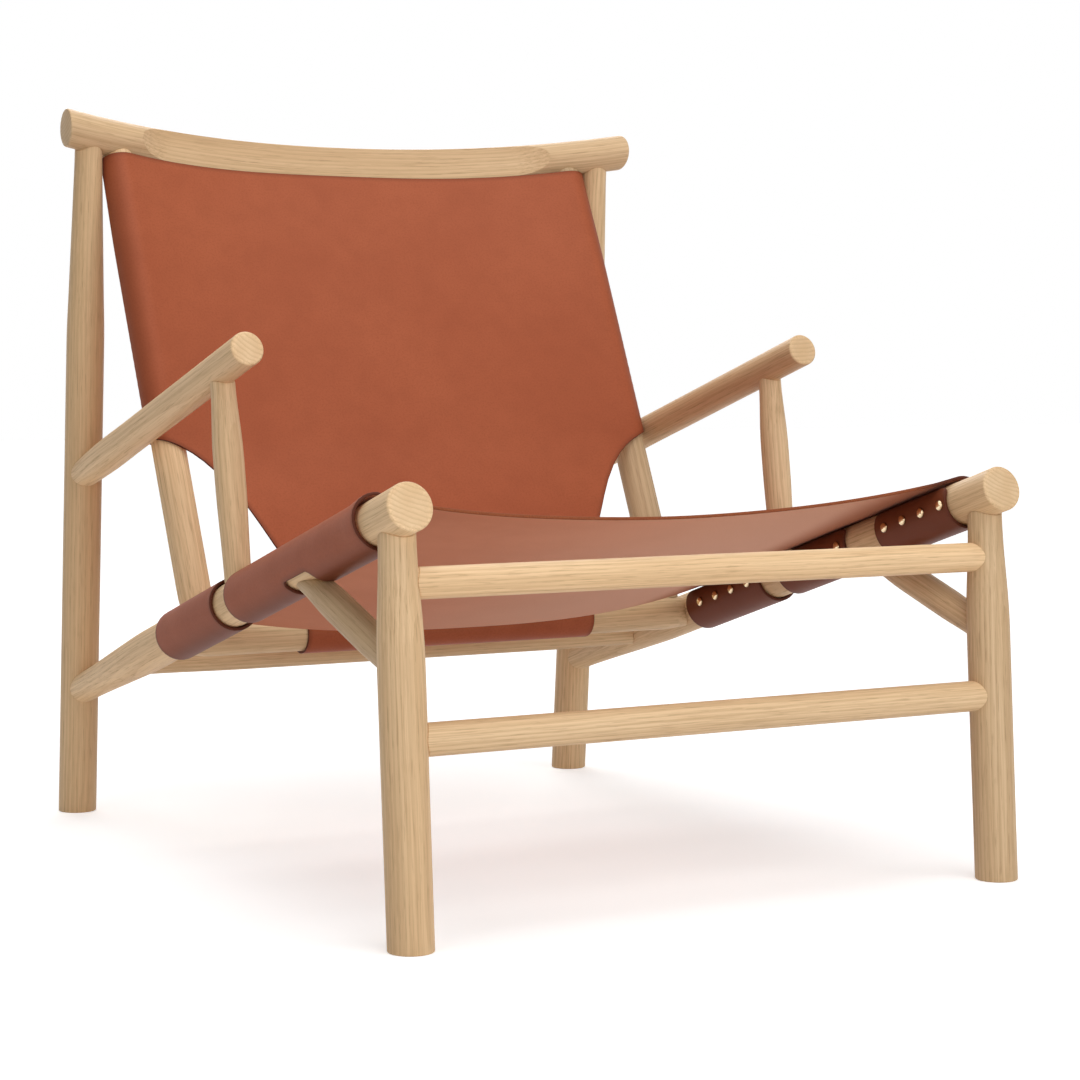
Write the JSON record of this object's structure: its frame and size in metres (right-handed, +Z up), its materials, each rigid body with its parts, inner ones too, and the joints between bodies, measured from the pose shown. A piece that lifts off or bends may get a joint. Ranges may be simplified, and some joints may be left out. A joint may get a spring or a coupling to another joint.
{
  "type": "leather sling lounge chair",
  "caption": "Low lounge chair: turned oak frame with sloping rails and bowed top rail, one slung leather seat hide and one leather back hide, fixed with brass dome studs.",
  "frame": {"origin": "floor level, in the middle of the bounding box", "axes": "+Z up; the chair's front looks along -Y; +X is the right side as seen from the front"},
  "size_m": [0.7242, 0.893, 0.7999],
  "materials": {
    "oak": "light oiled oak with fine lengthwise grain",
    "leather": "vegetable-tanned saddle leather, smooth terracotta grain side, pinkish flesh side",
    "brass": "polished, lightly worn"
  },
  "bodies": {
    "root": {"left_side_rail": "oak", "left_front_leg": "oak", "left_rear_post": "oak", "left_armrest": "oak", "left_arm_support": "oak", "left_leg_brace": "oak", "left_back_upright": "oak", "right_side_rail": "oak", "right_front_leg": "oak", "right_rear_post": "oak", "right_armrest": "oak", "right_arm_support": "oak", "right_leg_brace": "oak", "right_back_upright": "oak", "top_rail": "oak", "upper_front_stretcher": "oak", "lower_front_stretcher": "oak", "lower_back_rail": "oak", "seat_rear_rail": "oak", "seat_hide": "leather", "back_hide": "leather", "left_front_tab_stud_1": "brass", "left_front_tab_stud_2": "brass", "left_front_tab_stud_3": "brass", "left_front_tab_stud_4": "brass", "left_middle_tab_stud_1": "brass", "left_middle_tab_stud_2": "brass", "left_middle_tab_stud_3": "brass", "left_middle_tab_stud_4": "brass", "left_rear_tab_stud_1": "brass", "left_rear_tab_stud_2": "brass", "left_rear_tab_stud_3": "brass", "left_rear_tab_stud_4": "brass", "right_front_tab_stud_1": "brass", "right_front_tab_stud_2": "brass", "right_front_tab_stud_3": "brass", "right_front_tab_stud_4": "brass", "right_middle_tab_stud_1": "brass", "right_middle_tab_stud_2": "brass", "right_middle_tab_stud_3": "brass", "right_middle_tab_stud_4": "brass", "right_rear_tab_stud_1": "brass", "right_rear_tab_stud_2": "brass", "right_rear_tab_stud_3": "brass", "right_rear_tab_stud_4": "brass", "left_upright_stud_1": "brass", "left_upright_stud_2": "brass", "left_upright_stud_3": "brass", "left_upright_stud_4": "brass", "left_upright_stud_5": "brass", "right_upright_stud_1": "brass", "right_upright_stud_2": "brass", "right_upright_stud_3": "brass", "right_upright_stud_4": "brass", "right_upright_stud_5": "brass", "tongue_stud_1": "brass", "tongue_stud_2": "brass", "tongue_stud_3": "brass", "tongue_stud_4": "brass", "tongue_stud_5": "brass"}
  },
  "joints": []
}
